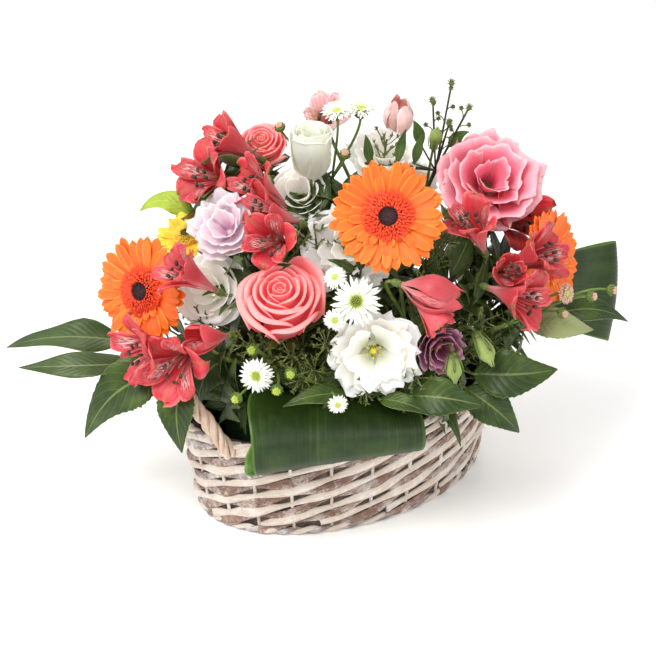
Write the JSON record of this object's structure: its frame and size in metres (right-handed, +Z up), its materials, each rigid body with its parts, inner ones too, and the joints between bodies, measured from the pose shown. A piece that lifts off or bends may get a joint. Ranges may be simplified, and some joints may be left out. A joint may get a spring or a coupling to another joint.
{
  "type": "flower basket arrangement",
  "caption": "Oval split-willow basket with twisted end handles, filled with a dome of gerberas, roses, lisianthus, alstroemeria and asters among glossy leaves.",
  "frame": {"origin": "middle of the basket's flat underside", "axes": "+Z up, X along the basket's long axis, the arrangement's front towards -Y and turned 28 degrees towards -X"},
  "size_m": [0.5078, 0.335, 0.3499],
  "materials": {
    "aspidistra": "deep green ribbed leaf, satin",
    "aster": "white rays round a yellow-green eye",
    "willow": "split willow, whitewashed, with brown bark showing",
    "filler": "grey-green buds on thin twigs",
    "foam": "soaked green floral foam",
    "gerbera_eye": "dark velvety disc",
    "gerbera": "orange ray petals, satin, redder at the foot",
    "stem": "fresh green stems",
    "yellow": "golden yellow ray petals",
    "rope": "peeled willow twisted into a cord",
    "leaf": "dark green leaves, satin, with a lighter midrib",
    "wavy_leaf": "long green leaves with a wavy edge",
    "lime_leaf": "young yellow-green leaves",
    "film": "dark plastic film",
    "lavender": "pale lavender petals",
    "mauve": "dusky mauve petals",
    "pink": "bright pink ruffled petals",
    "white": "white ruffled petals",
    "cream_green": "greenish white bud",
    "rose": "salmon pink petals, soft satin",
    "blush": "pale salmon petals",
    "red": "coral red petals with dark streaks"
  },
  "bodies": {
    "root": {"aspidistra_front": "aspidistra", "aspidistra_right": "aspidistra", "asters_centre": "aster", "asters_left": "aster", "asters_rear": "aster", "asters_right": "aster", "asters_top": "aster", "basket": "willow", "filler_twigs": "filler", "foam": "foam", "gerbera_centre_eye": "gerbera_eye", "gerbera_centre_rays": "gerbera", "gerbera_centre_stem": "stem", "gerbera_left_eye": "gerbera_eye", "gerbera_left_rays": "gerbera", "gerbera_left_stem": "stem", "gerbera_right_eye": "gerbera_eye", "gerbera_right_rays": "gerbera", "gerbera_right_stem": "stem", "gerbera_yellow_eye": "gerbera_eye", "gerbera_yellow_rays": "yellow", "gerbera_yellow_stem": "stem", "handle_left": "rope", "handle_right": "rope", "leaves_front": "leaf", "leaves_left_high": "wavy_leaf", "leaves_left_low": "leaf", "leaves_lime": "lime_leaf", "leaves_rear": "leaf", "leaves_rear_left": "leaf", "leaves_rear_right": "leaf", "leaves_right": "leaf", "leaves_right_long": "leaf", "liner": "film", "lisianthus_lavender": "lavender", "lisianthus_mauve": "mauve", "lisianthus_pink": "pink", "lisianthus_white_back": "white", "lisianthus_white_bud": "cream_green", "lisianthus_white_front": "white", "lisianthus_white_left": "white", "lisianthus_white_middle": "white", "lisianthus_white_rear": "white", "lisianthus_white_top": "white", "rose_back_petals": "rose", "rose_back_stem": "stem", "rose_front_petals": "rose", "rose_front_stem": "stem", "spray_blush": "blush", "spray_red_centre": "red", "spray_red_low": "red", "spray_red_middle": "red", "spray_red_rear": "red", "spray_red_right": "red", "spray_red_upper": "red", "stem_pink": "stem", "stem_rear": "stem", "stem_white_front": "stem", "stem_white_left": "stem", "stem_white_middle": "stem"}
  },
  "joints": []
}
